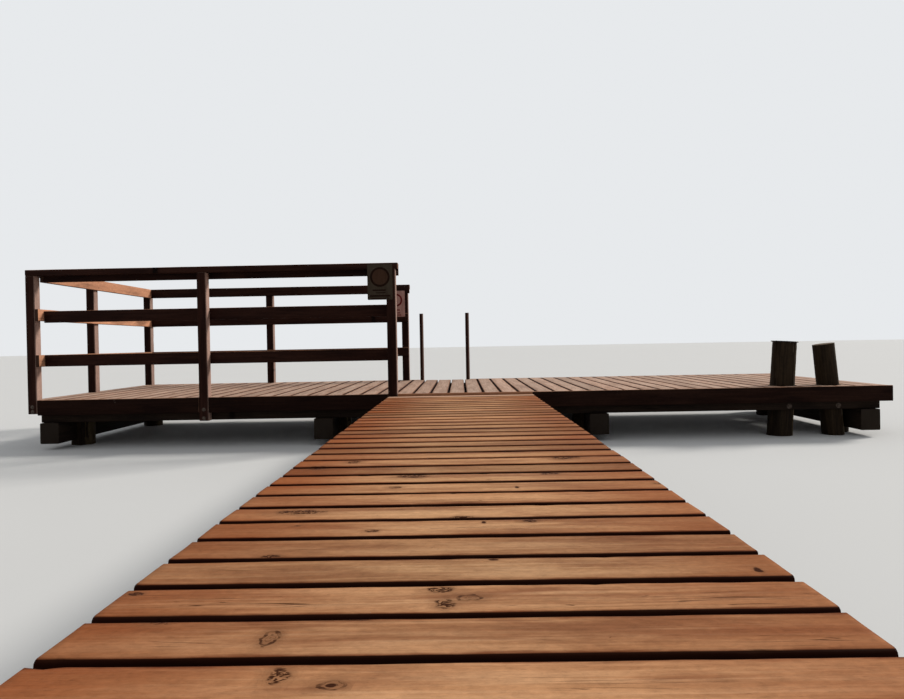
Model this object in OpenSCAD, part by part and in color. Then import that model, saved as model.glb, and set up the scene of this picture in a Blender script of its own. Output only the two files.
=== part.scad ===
// Timber bathing jetty: a walkway of equal bays that ends in a T-shaped platform with a railed corner.
// X runs along the platform, Y from the shore towards the lake, Z up from the water surface.
// The origin is the middle of the whole outline at water level, where the piles are cut.

/* [Levels] */
// Top of the platform boards above the water
deck_h = 428; // [400:1:900]
// How much lower the walkway boards lie than the platform boards
walk_step = 20; // [0:1:60]

/* [Deck boards] */
// Thickness of every deck board
board_t = 38; // [24:1:60]
// Width of every deck board
board_w = 131; // [90:1:200]
// Worn edge taken off each long top edge of a board
board_ease = 5; // [1:0.5:8]
// Smallest gap between platform boards
plat_gap = 16; // [3:0.5:24]
// Gap between walkway boards
walk_gap = 14; // [3:0.5:24]

/* [Walkway] */
// Number of walkway bays
walk_bays = 4; // [1:1:6]
// Boards in one bay
bay_boards = 14; // [8:1:20]
// Width of the walkway
walk_w = 1210; // [900:10:1800]
// Distance of the walkway axis from the middle of the platform
walk_x = 30; // [-400:5:400]
// Distance from the middle of a walkway stringer to the board ends beside it
walk_overhang = 150; // [60:5:300]
// Width of a walkway stringer
walk_stringer_w = 70; // [50:1:120]
// Depth of a walkway stringer
walk_stringer_h = 140; // [100:1:180]
// Width of a walkway cross-beam along the walkway
walk_beam_w = 140; // [100:1:200]
// Depth of a walkway cross-beam
walk_beam_h = 120; // [80:1:150]
// Diameter of a walkway pile
walk_pile_d = 160; // [120:5:220]
// Distance of the last walkway cross-beam from the platform
walk_end_clear = 80; // [20:5:400]

/* [Platform] */
// Length of the platform across the walkway
plat_l = 7230; // [6000:10:9000]
// Depth of the platform along the walkway
plat_d = 2170; // [1700:10:2600]
// Width of a platform stringer
stringer_w = 80; // [60:1:120]
// Depth of a platform stringer
stringer_h = 160; // [120:1:180]
// Length of the notch under each stringer end
end_notch_l = 65; // [20:5:65]
// Height of the notch under each stringer end
end_notch_h = 80; // [20:1:100]
// Width of a platform cross-beam
beam_w = 160; // [120:1:200]
// Depth of a platform cross-beam
beam_h = 176; // [120:1:180]
// How far the cross-beam ends lie inside the platform edges
beam_inset = 30; // [0:5:80]
// Distance of the last cross-beam from the platform's right end
beam_right_in = 90; // [70:5:160]
// Distance of the two inner cross-beams from the walkway axis
inner_beam_x = 1160; // [900:10:1600]
// Diameter of a platform pile
pile_d = 200; // [150:5:240]
// How deep the head of a pile is cut away for its cross-beam
pile_lap = 100; // [20:1:110]
// Distance of the pile centres from the near and far platform edges
pile_inset = 400; // [385:5:520]
// Thickness of the edge boards over the board ends
edge_t = 28; // [18:1:34]
// Height of the edge boards
edge_h = 130; // [90:1:160]

/* [Railing] */
// Height of the railing above the platform
rail_h = 1098; // [900:1:1200]
// Side of a square railing post
post = 78; // [60:1:100]
// Depth of the beam that lies on the posts
top_beam_h = 50; // [30:1:60]
// Height of a rail board
rail_w = 100; // [80:1:140]
// Thickness of a rail board
rail_t = 28; // [18:1:40]
// Top of the middle rail board above the platform, on the near side
rail_mid = 754; // [700:1:840]
// Top of the low rail board above the platform
rail_low = 380; // [300:1:500]
// How much higher the middle rail board lies at the end and on the far side
far_mid_up = 14; // [0:1:40]
// How far the top beam and its rail run on past the last post
rail_over = 20; // [0:1:60]
// Distance between the corner post and the next post on the near side
rail_bay = 1449; // [1000:1:1800]
// How much nearer to the corner the middle post stands on the far side
far_mid_shift = 29; // [0:1:120]
// How much shorter the far side of the railing stands than the near side
far_shift = 58; // [0:1:120]
// Distance of the end post's centre from the near platform edge
side_post_y = 950; // [900:5:1200]
// Height of the end post's foot above the underside of its cross-beam
side_post_up = 25; // [0:5:80]

/* [Sign plates] */
// Width of a sign plate
sign_w = 210; // [150:1:260]
// Height of a sign plate
sign_h = 297; // [200:1:340]
// Thickness of a sign plate
sign_t = 3; // [2:0.5:8]
// Drop of the near plate below the top of the railing
sign_drop = 12; // [0:1:40]
// Distance of the near plate from the end post's right edge
sign_side = 24; // [0:1:40]
// Drop of the far plate below the top of the railing
sign_far_drop = 70; // [60:1:95]
// Distance of the far plate from the far end post's right edge
sign_far_side = 35; // [0:1:60]

/* [Mooring posts] */
// Diameter of the capped mooring post at its foot
moor_d = 206; // [160:1:240]
// Diameter of the capped mooring post at its head
moor_head_d = 198; // [140:1:220]
// Height of the capped mooring post above the platform
moor_h = 372; // [250:1:500]
// Distance between the two mooring posts at platform level
moor_pitch = 383; // [300:1:600]
// Lean of the capped mooring post to the right
moor_lean = 4; // [0:0.5:6]
// Thickness of the metal cap disc
cap_t = 10; // [4:1:20]
// How far the cap disc stands out around the post head
cap_over = 10; // [4:1:30]
// Diameter of the uncapped corner post
corner_d = 182; // [150:1:200]
// Distance of the corner post from the platform's right end, at platform level
corner_in = 425; // [415:1:600]
// Height of the uncapped corner post above the platform
corner_h = 354; // [250:1:500]
// Lean of the uncapped corner post to the left
corner_lean = 5.5; // [0:0.5:6]
// Slope of the saw cut on the uncapped post's head
corner_cut = 7; // [0:0.5:10]
// Depth of the flat seat cut into a mooring post for the near stringer
moor_lap = 38; // [5:1:50]
// Clear gap between a mooring post and the boards around it
moor_clear = 9; // [4:1:25]

/* [Ladder] */
// Side of a square ladder stile
stile = 44; // [36:1:60]
// Distance between the two stiles, centre to centre
stile_pitch = 526; // [400:1:650]
// Distance of the ladder's middle from the walkway axis, to the left
ladder_x = 175; // [100:1:300]
// Height of the stiles above the platform
stile_h = 765; // [500:1:1000]
// Thickness of a ladder tread
tread_t = 28; // [20:1:40]
// Height between ladder treads
tread_pitch = 210; // [180:5:240]
// Top of the lowest tread above the water
tread_first = 110; // [60:5:140]

/* [Hidden] */
$fn = 64;
wood_red = [0.36, 0.20, 0.14];
wood_pale = [0.62, 0.46, 0.38];
wood_dark = [0.22, 0.14, 0.11];
wood_bark = [0.30, 0.23, 0.17];
plate_pale = [0.70, 0.62, 0.56];
metal_grey = [0.35, 0.34, 0.33];
through = 2000;
fit = 2;

// Lengths and the lake and shore edges
bay_l = bay_boards * (board_w + walk_gap);
walk_l = walk_bays * bay_l;
y_shore = -(walk_l + plat_d) / 2;
y_near = y_shore + walk_l;
y_far = y_near + plat_d;
x_left = -plat_l / 2;
x_right = plat_l / 2;

// Levels, from the boards down
board_z = deck_h - board_t;
stringer_z = board_z - stringer_h;
beam_z = stringer_z - beam_h;
walk_top = deck_h - walk_step;
walk_board_z = walk_top - board_t;
walk_stringer_z = walk_board_z - walk_stringer_h;
walk_beam_z = walk_stringer_z - walk_beam_h;
rail_top = deck_h + rail_h;
post_top = rail_top - top_beam_h;

// Platform boards, spread evenly over the length
board_count = floor((plat_l + plat_gap) / (board_w + plat_gap));
board_pitch = (plat_l - board_w) / (board_count - 1);
sections = 4;

// Stringer faces: the outer ones stand one post depth behind the board ends
y_near_face = y_near + post;
y_far_face = y_far - post;
stringer_ys = [
    for (i = [0:3]) y_near_face + stringer_w / 2 + i * (y_far_face - y_near_face - stringer_w) / 3
];

// Cross-beams and piles: each pile head is cut away to carry its cross-beam from the inner side
beam_xs = [
    x_left + post + beam_w / 2,
    walk_x - inner_beam_x,
    walk_x + inner_beam_x,
    x_right - beam_right_in - beam_w / 2
];
beam_sides = [-1, -1, 1, 1];
pile_off = beam_w / 2 + pile_d / 2 - pile_lap;
function pile_x(i) = beam_xs[i] - beam_sides[i] * pile_off;
pile_ys = [y_near + pile_inset, y_far - pile_inset];

// Walkway stringers, centre to centre
walk_stringer_pitch = walk_w - 2 * walk_overhang;

// Walkway cross-beam places, one at each bay joint
walk_beam_ys = [
    for (i = [0:walk_bays])
        i == 0 ? y_shore + max(walk_beam_w, walk_pile_d) / 2
            : i == walk_bays ? y_near - walk_end_clear - max(walk_beam_w, walk_pile_d) / 2
            : y_shore + i * bay_l
];
walk_sides = [-1, 1];

// Railing posts along X
post_corner_x = x_left + post / 2;
post_end_x = walk_x - walk_w / 2 + post / 2;
near_post_xs = [post_corner_x, post_corner_x + rail_bay, post_end_x];
far_post_xs = [post_corner_x, post_corner_x + rail_bay - far_mid_shift, post_end_x - far_shift];
near_post_edge = post_end_x + post / 2;
far_post_edge = near_post_edge - far_shift;
near_rail_end = near_post_edge + rail_over;
far_rail_end = far_post_edge + rail_over;
side_post_yc = y_near + side_post_y;
side_post_foot = beam_z + side_post_up;
rail_tops = [rail_top, deck_h + rail_mid, deck_h + rail_low];
far_rail_tops = [rail_top, deck_h + rail_mid + far_mid_up, deck_h + rail_low];
rail_x_face = x_left + post;

// Mooring posts, bolted to the inner face of the near stringer
corner_x = x_right - corner_in;
moor_x = corner_x - moor_pitch;
corner_y = y_near_face + stringer_w + corner_d / 2 - moor_lap;
moor_y = y_near_face + stringer_w + moor_d / 2 - moor_lap;

// Ladder at the far edge
ladder_mid = walk_x - ladder_x;
stile_xs = [ladder_mid - stile_pitch / 2, ladder_mid + stile_pitch / 2];
tread_zs = [
    for (z = [tread_first:tread_pitch:board_z - tread_t]) z
];

// One board along Y with worn long edges, its top face at height z
module board_y(x, y0, y1, z) {
    translate([x, y1, z - board_t])
        rotate([90, 0, 0])
            linear_extrude(y1 - y0)
                board_profile();
}

// One board along X with worn long edges, its top face at height z
module board_x(x0, x1, y, z) {
    translate([x0, y, z - board_t])
        rotate([90, 0, 90])
            linear_extrude(x1 - x0)
                board_profile();
}

// Cross-section of a deck board, flat below and eased along both top edges
module board_profile() {
    polygon([
        [0, 0],
        [board_w, 0],
        [board_w, board_t - board_ease],
        [board_w - board_ease, board_t],
        [board_ease, board_t],
        [0, board_t - board_ease]
    ]);
}

// A block from one corner to the opposite one
module block(a, b) {
    translate(a)
        cube(b - a);
}

// A round upright pile cut square at both ends
module pile(x, y, top, d) {
    translate([x, y, 0])
        cylinder(h = top, d = d);
}

// Walkway boards of one bay
module walk_deck(bay) {
    color(wood_red)
        for (i = [0:bay_boards - 1])
            board_x(
                walk_x - walk_w / 2,
                walk_x + walk_w / 2,
                y_shore + bay * bay_l + i * (board_w + walk_gap),
                walk_top
            );
}

// The two stringers of one bay; those of the last bay run on to the platform stringer
module walk_stringers(bay) {
    y0 = y_shore + bay * bay_l;
    y1 = bay == walk_bays - 1 ? y_near_face : y0 + bay_l;
    color(wood_dark)
        for (side = walk_sides) {
            x = walk_x + side * walk_stringer_pitch / 2;
            block(
                [x - walk_stringer_w / 2, y0, walk_stringer_z],
                [x + walk_stringer_w / 2, y1, walk_board_z]
            );
        }
}

// The beams that lie across each pair of walkway piles
module walk_beams() {
    color(wood_dark)
        for (y = walk_beam_ys)
            block(
                [walk_x - walk_w / 2, y - walk_beam_w / 2, walk_beam_z],
                [walk_x + walk_w / 2, y + walk_beam_w / 2, walk_stringer_z]
            );
}

// One pair of walkway piles, under the stringers
module walk_piles(i) {
    color(wood_bark)
        for (side = walk_sides)
            pile(walk_x + side * walk_stringer_pitch / 2, walk_beam_ys[i], walk_beam_z, walk_pile_d);
}

// Platform boards of one section, cut out round the posts, the mooring posts and the ladder
module deck(section) {
    first = floor(section * board_count / sections);
    last = floor((section + 1) * board_count / sections) - 1;
    color(wood_pale)
        difference() {
            for (i = [first:last])
                board_y(x_left + i * board_pitch, y_near + edge_t, y_far - edge_t, deck_h);
            deck_cuts();
        }
}

// Everything that passes through the platform boards
module deck_cuts() {
    for (x = near_post_xs)
        block([x - post / 2 - fit, y_near - through, 0], [x + post / 2 + fit, y_near_face + fit, through]);
    for (x = far_post_xs)
        block([x - post / 2 - fit, y_far_face - fit, 0], [x + post / 2 + fit, y_far + through, through]);
    block(
        [x_left - through, side_post_yc - post / 2 - fit, 0],
        [x_left + post + fit, side_post_yc + post / 2 + fit, through]
    );
    block(
        [stile_xs[0] - stile / 2 - fit, y_far_face - fit, 0],
        [stile_xs[1] + stile / 2 + fit, y_far + through, through]
    );
    corner_shaft(2 * moor_clear);
    capped_shaft(2 * moor_clear);
}

// Cross-section of an edge board, its back at 0 and its worn outer top edge at edge_t
module edge_profile() {
    polygon([
        [0, 0],
        [edge_t, 0],
        [edge_t, edge_h - board_ease],
        [edge_t - board_ease, edge_h],
        [0, edge_h]
    ]);
}

// Edge boards over the board ends, notched from below over the walkway stringers
module edge_boards() {
    color(wood_dark)
        difference() {
            union() {
                translate([x_right, y_near + edge_t, deck_h - edge_h])
                    rotate([90, 0, -90])
                        linear_extrude(plat_l)
                            edge_profile();
                translate([x_left, y_far - edge_t, deck_h - edge_h])
                    rotate([90, 0, 90])
                        linear_extrude(plat_l)
                            edge_profile();
            }
            deck_cuts();
            for (side = walk_sides) {
                x = walk_x + side * walk_stringer_pitch / 2;
                block(
                    [x - walk_stringer_w / 2 - fit, y_near - through, 0],
                    [x + walk_stringer_w / 2 + fit, y_near_face, walk_board_z + fit]
                );
            }
        }
}

// Space taken by a stringer along the platform
module stringer_block(y) {
    block(
        [x_left, y - stringer_w / 2, stringer_z],
        [x_right, y + stringer_w / 2, board_z]
    );
}

// A stringer along the platform with both ends notched from below
module stringer(y) {
    difference() {
        stringer_block(y);
        for (x = [x_left - through + end_notch_l, x_right - end_notch_l])
            block([x, y - stringer_w, 0], [x + through, y + stringer_w, stringer_z + end_notch_h]);
    }
}

module stringer_near() {
    color(wood_dark)
        stringer(stringer_ys[0]);
}

module stringers_middle() {
    color(wood_dark) {
        stringer(stringer_ys[1]);
        stringer(stringer_ys[2]);
    }
}

module stringer_far() {
    color(wood_dark)
        stringer(stringer_ys[3]);
}

// Space taken by one platform cross-beam
module beam_block(i) {
    block(
        [beam_xs[i] - beam_w / 2, y_near + beam_inset, beam_z],
        [beam_xs[i] + beam_w / 2, y_far - beam_inset, stringer_z]
    );
}

module cross_beam(i) {
    color(wood_dark)
        beam_block(i);
}

// A platform pile with a flat seat where its cross-beam is bolted on
module seated_pile(i, y) {
    difference() {
        pile(pile_x(i), y, stringer_z, pile_d);
        beam_block(i);
    }
}

module piles(i) {
    color(wood_bark)
        for (y = pile_ys)
            seated_pile(i, y);
}

module pile_far_right() {
    color(wood_bark)
        seated_pile(3, pile_ys[1]);
}

module pile_near_right() {
    color(wood_bark)
        seated_pile(3, pile_ys[0]);
}

// The leaning log of the corner mooring post, wider all round by grow
module corner_shaft(grow) {
    translate([corner_x, corner_y, deck_h])
        rotate([0, -corner_lean, 0])
            translate([0, 0, -through / 2])
                cylinder(h = through, d = corner_d + grow);
}

module mooring_post_corner() {
    color(wood_bark)
        difference() {
            intersection() {
                corner_shaft(0);
                block(
                    [corner_x - through, corner_y - through, 0],
                    [corner_x + through, corner_y + through, through]
                );
            }
            stringer_block(stringer_ys[0]);
            translate([corner_x, corner_y, deck_h + corner_h])
                rotate([0, -corner_cut, 0])
                    translate([-through, -through, 0])
                        cube(2 * through);
        }
}

// The leaning log of the capped mooring post, wider all round by grow
module capped_shaft(grow) {
    capped_frame()
        translate([0, 0, -deck_h * 2])
            cylinder(
                h = deck_h * 2 + moor_h,
                d1 = moor_d + deck_h * 2 * (moor_d - moor_head_d) / moor_h + grow,
                d2 = moor_head_d + grow
            );
}

// The axis of the capped mooring post, from its middle at platform level
module capped_frame() {
    translate([moor_x, moor_y, deck_h])
        rotate([0, moor_lean, 0])
            children();
}

module mooring_post_capped() {
    color(wood_bark)
        difference() {
            intersection() {
                capped_shaft(0);
                block([moor_x - through, moor_y - through, 0], [moor_x + through, moor_y + through, through]);
            }
            stringer_block(stringer_ys[0]);
        }
}

module mooring_cap() {
    color(metal_grey)
        capped_frame()
            translate([0, 0, moor_h])
                cylinder(h = cap_t, d = moor_head_d + 2 * cap_over);
}

// One railing post from its foot to the top beam
module rail_post(x, y, foot) {
    block([x - post / 2, y - post / 2, foot], [x + post / 2, y + post / 2, post_top]);
}

// Posts run down to the underside of the stringer, or to its notch at the corner
function post_foot(x) = x == post_corner_x ? stringer_z + end_notch_h : stringer_z;

module posts_near() {
    color(wood_dark)
        for (x = near_post_xs)
            rail_post(x, y_near + post / 2, post_foot(x));
}

module posts_far() {
    color(wood_dark)
        for (x = far_post_xs)
            rail_post(x, y_far - post / 2, post_foot(x));
}

// The end post is bolted to the outer face of the first cross-beam
module post_side() {
    color(wood_dark)
        rail_post(post_corner_x, side_post_yc, side_post_foot);
}

// Rail boards on the inner faces of the near posts; only the top one runs on with its beam
module rails_near() {
    color(wood_dark)
        for (i = [0:2])
            block(
                [rail_x_face + rail_t, y_near_face, rail_tops[i] - rail_w],
                [i == 0 ? near_rail_end : near_post_edge, y_near_face + rail_t, rail_tops[i]]
            );
}

// Rail boards on the inner faces of the far posts
module rails_far() {
    color(wood_dark)
        for (i = [0:2])
            block(
                [rail_x_face + rail_t, y_far_face - rail_t, far_rail_tops[i] - rail_w],
                [i == 0 ? far_rail_end : far_post_edge, y_far_face, far_rail_tops[i]]
            );
}

// Rail boards across the end; the top one fits between the two top beams
module rails_side() {
    color(wood_dark)
        for (i = [0:2]) {
            inset = i == 0 ? post : 0;
            block(
                [rail_x_face, y_near + inset, far_rail_tops[i] - rail_w],
                [rail_x_face + rail_t, y_far - inset, far_rail_tops[i]]
            );
        }
}

module top_beam_near() {
    color(wood_dark)
        block([x_left, y_near, post_top], [near_rail_end, y_near_face, rail_top]);
}

module top_beam_far() {
    color(wood_dark)
        block([x_left, y_far_face, post_top], [far_rail_end, y_far, rail_top]);
}

module top_beam_side() {
    color(wood_dark)
        block([x_left, y_near_face, post_top], [rail_x_face, y_far_face, rail_top]);
}

// Plate on the shore side of the near end post
module sign_near() {
    x1 = near_post_edge - sign_side;
    z1 = rail_top - sign_drop;
    color(plate_pale)
        block([x1 - sign_w, y_near - sign_t, z1 - sign_h], [x1, y_near, z1]);
}

// Plate on the inner side of the far rails, under the end of the top rail board
module sign_far() {
    x1 = far_post_edge - sign_far_side;
    y1 = y_far_face - rail_t;
    z1 = rail_top - sign_far_drop;
    color(plate_pale)
        block([x1 - sign_w, y1 - sign_t, z1 - sign_h], [x1, y1, z1]);
}

module ladder_stiles() {
    color(wood_dark)
        for (x = stile_xs)
            block(
                [x - stile / 2, y_far_face, 0],
                [x + stile / 2, y_far_face + stile, deck_h + stile_h]
            );
}

module ladder_treads() {
    color(wood_dark)
        for (z = tread_zs)
            block(
                [stile_xs[0] + stile / 2, y_far_face, z - tread_t],
                [stile_xs[1] - stile / 2, y_far, z]
            );
}

for (i = [1:walk_bays]) {
    walk_deck(i - 1);
    walk_stringers(i - 1);
}
walk_beams();
for (i = [1:walk_bays + 1])
    walk_piles(i - 1);
for (i = [1:sections])
    deck(i - 1);
stringer_near();
stringers_middle();
stringer_far();
for (i = [1:4])
    cross_beam(i - 1);
for (i = [1:3])
    piles(i - 1);
pile_far_right();
pile_near_right();
edge_boards();
mooring_post_corner();
mooring_post_capped();
mooring_cap();
posts_near();
posts_far();
post_side();
rails_near();
rails_far();
rails_side();
top_beam_near();
top_beam_far();
top_beam_side();
sign_near();
sign_far();
ladder_stiles();
ladder_treads();
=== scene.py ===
"""Looks of the timber bathing jetty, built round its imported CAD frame."""
import math

import bpy
import numpy as np
from mathutils import Matrix, Vector


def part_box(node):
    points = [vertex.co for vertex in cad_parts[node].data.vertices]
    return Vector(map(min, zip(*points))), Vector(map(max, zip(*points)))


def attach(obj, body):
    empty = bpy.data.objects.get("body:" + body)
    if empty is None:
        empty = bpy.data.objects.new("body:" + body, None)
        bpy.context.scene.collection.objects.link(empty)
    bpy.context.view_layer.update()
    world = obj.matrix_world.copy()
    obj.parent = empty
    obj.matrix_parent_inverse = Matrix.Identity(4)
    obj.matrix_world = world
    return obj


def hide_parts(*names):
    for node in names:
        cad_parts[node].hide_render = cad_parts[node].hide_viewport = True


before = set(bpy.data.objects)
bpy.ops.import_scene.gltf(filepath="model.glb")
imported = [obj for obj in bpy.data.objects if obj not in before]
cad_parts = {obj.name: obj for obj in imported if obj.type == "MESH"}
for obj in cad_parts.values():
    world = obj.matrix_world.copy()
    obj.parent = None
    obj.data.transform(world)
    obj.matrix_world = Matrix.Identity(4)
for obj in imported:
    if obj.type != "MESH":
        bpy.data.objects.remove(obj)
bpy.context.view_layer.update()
rng = np.random.default_rng(4127)

# Sizes shared with the CAD model, in metres
BAYS = 4
BOARD_W = 0.131
BOARD_T = 0.038
DECK_LEFT = -3.615
DECK_LENGTH = 7.23
DECK_BOARDS = 49
DECK_PITCH = (DECK_LENGTH - BOARD_W) / (DECK_BOARDS - 1)
DECK_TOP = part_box("deck_1")[1].z
WALK_X = 0.03
WALK_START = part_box("walk_deck_1")[0].y
WALK_PITCH = 0.145
LAST_BOARD = WALK_START + 55 * WALK_PITCH
MIDDLE_Y = 4
PILE_ROWS = (3.375, 4.745)
SIDE_POST_YS = (3.01, 3.925, 5.11)

# Mooring posts: axis at the height of the boards, lean and radius; the capped one narrows towards its head
MOOR_AXIS = (2.807, 3.198, DECK_TOP)
MOOR_LEAN = math.radians(4)
MOOR_H = 0.372
MOOR_R = 0.103
MOOR_HEAD_R = 0.099
CORNER_AXIS = (3.190, 3.186, DECK_TOP)
CORNER_LEAN = math.radians(5.5)
CORNER_R = 0.091

# Radius of the walkway's piles, just inside the CAD model's 0.08
WALK_PILE_R = 0.0795

# How far a log's surface stays inside its solid, and how deep bolts and screws are set
LOG_GAP = 0.0006
BOLT_SET = 0.0008
SCREW_SET = 0.0026
RAIL_SCREW_SET = 0.0014

# Where a board's two screws stand about its middle, and the radius of bolts and of the railing's screws
SCREW_PAIR = (-0.038, 0.038)
FRAME_BOLT_R = 0.014
POST_BOLT_R = 0.010
RAIL_SCREW_R = 0.005

# Frames of u, v, w for timbers whose grain runs along X, Y or Z
X, Y, Z = 0, 1, 2
ALONG = [[(1, 0, 0), (0, 1, 0), (0, 0, 1)],
         [(0, 1, 0), (-1, 0, 0), (0, 0, 1)],
         [(0, 0, 1), (1, 0, 0), (0, 1, 0)]]

# Knots and cracks of the walkway that the photograph shows: place and half size along X and Y
WALK_MARKS = {
    "ring": [(0.042, -1.455, 0.021, 0.013), (-0.257, -1.6, 0.013, 0.026)],
    "crack": [(0.001, -1.478, 0.016, 0.02), (-0.008, -1.414, 0.024, 0.013), (-0.213, -1.716, 0.013, 0.022),
              (0.03, -0.93, 0.034, 0.01), (-0.171, -0.572, 0.02, 0.014), (-0.391, -0.858, 0.06, 0.022),
              (-0.455, -1.53, 0.02, 0.016), (-0.476, -0.227, 0.036, 0.03), (-0.368, -0.127, 0.024, 0.022),
              (-0.13, -0.407, 0.05, 0.028), (0.321, -0.395, 0.03, 0.018), (0.416, -0.106, 0.05, 0.032),
              (-0.181, -1.041, 0.016, 0.01), (0.195, -0.975, 0.018, 0.012), (-0.367, -1.215, 0.018, 0.01)],
    "spot": [(0.582, -1.339, 0.008, 0.014), (0.092, -1.259, 0.011, 0.005), (0.005, -0.665, 0.017, 0.01),
             (0.195, -0.599, 0.006, 0.014), (0.083, -0.983, 0.006, 0.01)],
}


# CAD solids
def corners(mesh):
    return np.array([v.co for v in mesh.vertices], float)


def solids(node):
    """The separate solids of a CAD node, as (points, triangles), in order along X, then Y, then Z."""
    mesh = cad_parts[node].data
    _, first, same = np.unique(np.round(corners(mesh), 5), axis=0, return_index=True, return_inverse=True)
    points = corners(mesh)[first]
    mesh.calc_loop_triangles()
    triangles = same.reshape(-1)[[tuple(t.vertices) for t in mesh.loop_triangles]]
    label = np.arange(len(points))
    while True:
        new = label.copy()
        np.minimum.at(new, triangles, label[triangles].min(axis=1)[:, None])
        new = new[new]
        if (new == label).all():
            break
        label = new
    parts = []
    for group in np.unique(label[triangles[:, 0]]):
        mine = triangles[label[triangles[:, 0]] == group]
        a, b, c = mine.T
        mine = mine[(a != b) & (b != c) & (a != c)]
        used, local = np.unique(mine, return_inverse=True)
        parts.append((points[used], local.reshape(-1, 3)))
    return sorted(parts, key=lambda part: tuple(np.round(span(part)[0], 3)))


def all_solids(*nodes):
    return [part for node in nodes for part in solids(node)]


def span(part):
    """Lowest and highest corner of one solid."""
    return part[0].min(axis=0), part[0].max(axis=0)


def middle(part):
    lo, hi = span(part)
    return (lo + hi) / 2


def volume(points, triangles):
    a, b, c = np.swapaxes(points[triangles], 0, 1)
    return (a * np.cross(b, c)).sum() / 6


# Shapes as points and faces
def jitter(size):
    return rng.uniform(-size, size)


def smooth_noise(steps, where, size):
    """Random values on even knots, joined smoothly, read at the places in where (0 to 1)."""
    knots = rng.uniform(-1, 1, steps + 1)
    t = np.clip(where, 0, 0.999999) * steps
    i = t.astype(int)
    f = t - i
    f = f * f * (3 - 2 * f)
    return size * (knots[i] * (1 - f) + knots[i + 1] * f)


def facing_out(points, faces):
    """The same shape, with its faces turned where they look inwards."""
    triangles = [[f[0], f[i], f[i + 1]] for f in faces for i in range(1, len(f) - 1)]
    if volume(points, np.array(triangles)) < 0:
        faces = [f[::-1] for f in faces]
    return points, faces


def loft(rings, ends=True):
    """Mesh through rings of points, its ends closed by fans, or joined to each other where ends is false."""
    count, around = rings.shape[:2]
    points = rings.reshape(-1, 3)
    start = np.arange(count - ends)[:, None] * around
    a = (start + np.arange(around)).reshape(-1)
    b = (start + (np.arange(around) + 1) % around).reshape(-1)
    faces = (np.stack([a, b, b + around, a + around], axis=1) % len(points)).tolist()
    if ends:
        foot, head, last = len(points), len(points) + 1, len(points) - around
        points = np.concatenate([points, [rings[0].mean(axis=0), rings[-1].mean(axis=0)]])
        for j in range(around):
            following = (j + 1) % around
            faces.append([foot, following, j])
            faces.append([head, last + j, last + following])
    return facing_out(points, faces)


def arc(across, up, radius, first, last, count):
    """Points of a corner arc for every ring at once: (rings, count, 2)."""
    t = np.radians(np.linspace(first, last, count))
    x = across[:, None] + radius[:, None] * np.cos(t)
    y = up[:, None] + radius[:, None] * np.sin(t)
    return np.stack([x, y], axis=2)


def outline(v0, v1, top, left, right, low, across, arcs):
    """Rounded cross-sections of a timber, for every ring at once: (rings, points, 2)."""
    foot = np.full_like(top, 0.0001)
    f = np.linspace(0, 1, across + 2)[1:-1]
    over = (v1 - right)[:, None] * (1 - f) + (v0 + left)[:, None] * f
    return np.concatenate([
        arc(v0 + low, foot + low, low, 180, 270, 2),
        np.stack([(v0 + v1)[:, None] / 2, foot[:, None]], axis=2),
        arc(v1 - low, foot + low, low, 270, 360, 2),
        np.stack([v1[:, None], (top * 0.5)[:, None]], axis=2),
        arc(v1 - right, top - right, right, 0, 90, arcs),
        np.stack([over, np.repeat(top[:, None], across, 1)], axis=2),
        arc(v0 + left, top - left, left, 90, 180, arcs),
        np.stack([v0[:, None], (top * 0.5)[:, None]], axis=2)], axis=1)


def worn_edges(s, length, round_top, knots, chips, most):
    """Rounding of both upper edges along a timber, with a few chips out of them."""
    edges = []
    for _ in range(2):
        edges.append(round_top * (1 + smooth_noise(knots, s, 0.3) + smooth_noise(knots * 5, s, 0.2)))
    for _ in range(chips):
        where = rng.uniform(0.02, 0.98)
        size = rng.uniform(0.4, 1.3) * round_top
        run = rng.uniform(0.008, 0.03) / length
        edge = edges[0 if rng.random() < 0.5 else 1]
        edge += size * np.exp(-((s - where) / run) ** 2)
    least = 0.0006
    return [np.clip(edge, least, most) for edge in edges]


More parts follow.
